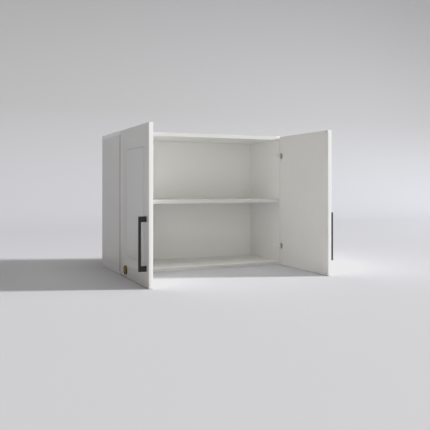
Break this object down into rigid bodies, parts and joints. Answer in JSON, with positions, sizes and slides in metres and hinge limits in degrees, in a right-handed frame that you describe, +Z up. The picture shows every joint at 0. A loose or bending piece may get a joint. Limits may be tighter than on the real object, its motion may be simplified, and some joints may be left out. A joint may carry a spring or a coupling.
{
  "type": "hanging wall cabinet",
  "caption": "White hanging wall cabinet with framed doors on cup hinges, black bow handles, an inner shelf and eye plates for wall hooks.",
  "frame": {"origin": "centre of the carcass's flat underside", "axes": "+X across the front to the right, +Y from the front into the cabinet towards the wall, +Z up"},
  "size_m": [0.856, 0.7175, 0.612],
  "materials": {
    "melamine_board": "matt white melamine on chipboard",
    "edge_strip": "satin white ABS strip",
    "hardboard_back": "white lacquered hardboard",
    "rail_board": "white melamine on chipboard",
    "lacquered_mdf": "satin white lacquer on routed MDF",
    "beech_dowel": "fluted raw beech",
    "zinc_steel": "bright zinc-plated steel",
    "nickel_steel": "nickel-plated steel",
    "white_plastic": "moulded white plastic",
    "black_handle": "matt black powder coat",
    "clear_bumper": "clear soft plastic",
    "brass_rim": "satin brass",
    "dark_enamel": "dark brown enamel"
  },
  "bodies": {
    "cabinet": {"back_panel": "hardboard_back", "bottom_edge_bands": "edge_strip", "bottom_panel": "melamine_board", "corner_dowels": "beech_dowel", "corner_screw_caps": "white_plastic", "corner_screws": "zinc_steel", "eye_plate_left": "zinc_steel", "eye_plate_right": "zinc_steel", "eye_plate_screws": "zinc_steel", "hanging_rail": "rail_board", "hinge_arm_cover_lower_left": "white_plastic", "hinge_arm_cover_lower_right": "white_plastic", "hinge_arm_cover_upper_left": "white_plastic", "hinge_arm_cover_upper_right": "white_plastic", "hinge_arm_lower_left": "nickel_steel", "hinge_arm_lower_right": "nickel_steel", "hinge_arm_screws_left": "nickel_steel", "hinge_arm_screws_right": "nickel_steel", "hinge_arm_upper_left": "nickel_steel", "hinge_arm_upper_right": "nickel_steel", "hinge_plate_lower_left": "nickel_steel", "hinge_plate_lower_right": "nickel_steel", "hinge_plate_screws_left": "nickel_steel", "hinge_plate_screws_right": "nickel_steel", "hinge_plate_upper_left": "nickel_steel", "hinge_plate_upper_right": "nickel_steel", "rail_dowels": "beech_dowel", "shelf": "melamine_board", "shelf_edge_band": "edge_strip", "shelf_supports": "nickel_steel", "side_edge_band_left": "edge_strip", "side_edge_band_right": "edge_strip", "side_panel_left": "melamine_board", "side_panel_right": "melamine_board", "top_edge_bands": "edge_strip", "top_panel": "melamine_board"},
    "left_door": {"badge_disc": "dark_enamel", "badge_rim": "brass_rim", "door_bumpers_left": "clear_bumper", "door_panel_left": "lacquered_mdf", "handle_left": "black_handle", "handle_screw_caps_left": "white_plastic", "handle_screws_left": "zinc_steel", "hinge_cup_lower_left": "nickel_steel", "hinge_cup_screws_left": "nickel_steel", "hinge_cup_upper_left": "nickel_steel", "hinge_pin_lower_left": "nickel_steel", "hinge_pin_upper_left": "nickel_steel"},
    "right_door": {"door_bumpers_right": "clear_bumper", "door_panel_right": "lacquered_mdf", "handle_right": "black_handle", "handle_screw_caps_right": "white_plastic", "handle_screws_right": "zinc_steel", "hinge_cup_lower_right": "nickel_steel", "hinge_cup_screws_right": "nickel_steel", "hinge_cup_upper_right": "nickel_steel", "hinge_pin_lower_right": "nickel_steel", "hinge_pin_upper_right": "nickel_steel"}
  },
  "joints": [
    {"name": "left_door_swing", "type": "hinge", "parent": "cabinet", "child": "left_door", "pos_m": [-0.3915, -0.1695, 0.306], "axis": [0, 0, -1], "range_deg": [-90, 15]},
    {"name": "right_door_swing", "type": "hinge", "parent": "cabinet", "child": "right_door", "pos_m": [0.3915, -0.1695, 0.306], "axis": [0, 0, 1], "range_deg": [-90, 15]}
  ]
}
